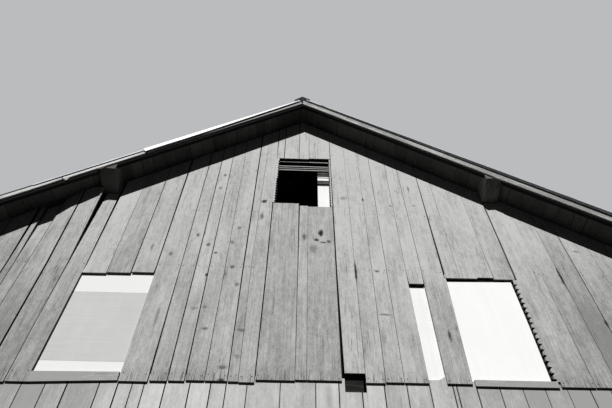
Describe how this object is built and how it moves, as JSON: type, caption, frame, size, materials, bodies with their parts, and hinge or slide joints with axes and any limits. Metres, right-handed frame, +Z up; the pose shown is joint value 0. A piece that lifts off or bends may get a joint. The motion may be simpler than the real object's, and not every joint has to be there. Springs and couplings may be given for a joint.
{
  "type": "gable-front hay barn",
  "caption": "Timber-framed gable-front hay barn: vertical board walls, open wagon doorway, loft, hay opening under the ridge, closed windows and a corrugated metal roof.",
  "frame": {"origin": "on the ground, at the middle of the plan", "axes": "+Z up, +Y along the ridge from the front gable to the back, +X to the right seen from the front"},
  "size_m": [12.042, 15.152, 10.6838],
  "materials": {
    "old_timber": "rough hewn and sawn timber, dry and dusty",
    "weathered_boards": "rough sawn boards weathered to silver grey",
    "roof_boards": "unweathered dark sawn boards",
    "galvanised_iron": "dull galvanised corrugated iron",
    "barge_boards": "faded pale paint on planed boards",
    "white_boards": "flat white paint",
    "white_sheet": "white coated corrugated sheet"
  },
  "bodies": {
    "root": {"side_sills": "old_timber", "end_sills": "old_timber", "wall_posts": "old_timber", "wall_plates": "old_timber", "aisle_posts": "old_timber", "tie_beams": "old_timber", "loft_joists": "old_timber", "loft_floor": "roof_boards", "purlin_posts": "old_timber", "collar_beams": "old_timber", "left_purlin": "old_timber", "right_purlin": "old_timber", "left_rafters": "old_timber", "right_rafters": "old_timber", "left_roof_boards": "roof_boards", "right_roof_boards": "roof_boards", "left_roof_sheets": "galvanised_iron", "right_roof_sheets": "galvanised_iron", "ridge_cap": "galvanised_iron", "front_left_barge": "barge_boards", "front_right_barge": "barge_boards", "back_barges": "barge_boards", "gable_studs": "old_timber", "wall_girts": "old_timber", "front_wall_boards": "weathered_boards", "front_wall_over_door": "weathered_boards", "door_posts": "old_timber", "door_lintel": "old_timber", "front_gable_boards": "weathered_boards", "front_gable_short_boards": "weathered_boards", "hay_door_boards": "weathered_boards", "hay_opening_slats": "weathered_boards", "hay_white_boards": "white_boards", "window_sills": "weathered_boards", "left_window_panel": "white_boards", "right_window_panel": "white_sheet", "slit_panel": "white_boards", "back_window_panels": "white_boards", "back_wall_boards": "weathered_boards", "back_gable_boards": "weathered_boards", "back_gable_short_boards": "weathered_boards", "left_wall_lower": "weathered_boards", "left_wall_upper": "weathered_boards", "right_wall_lower": "weathered_boards", "right_wall_upper": "weathered_boards"}
  },
  "joints": []
}
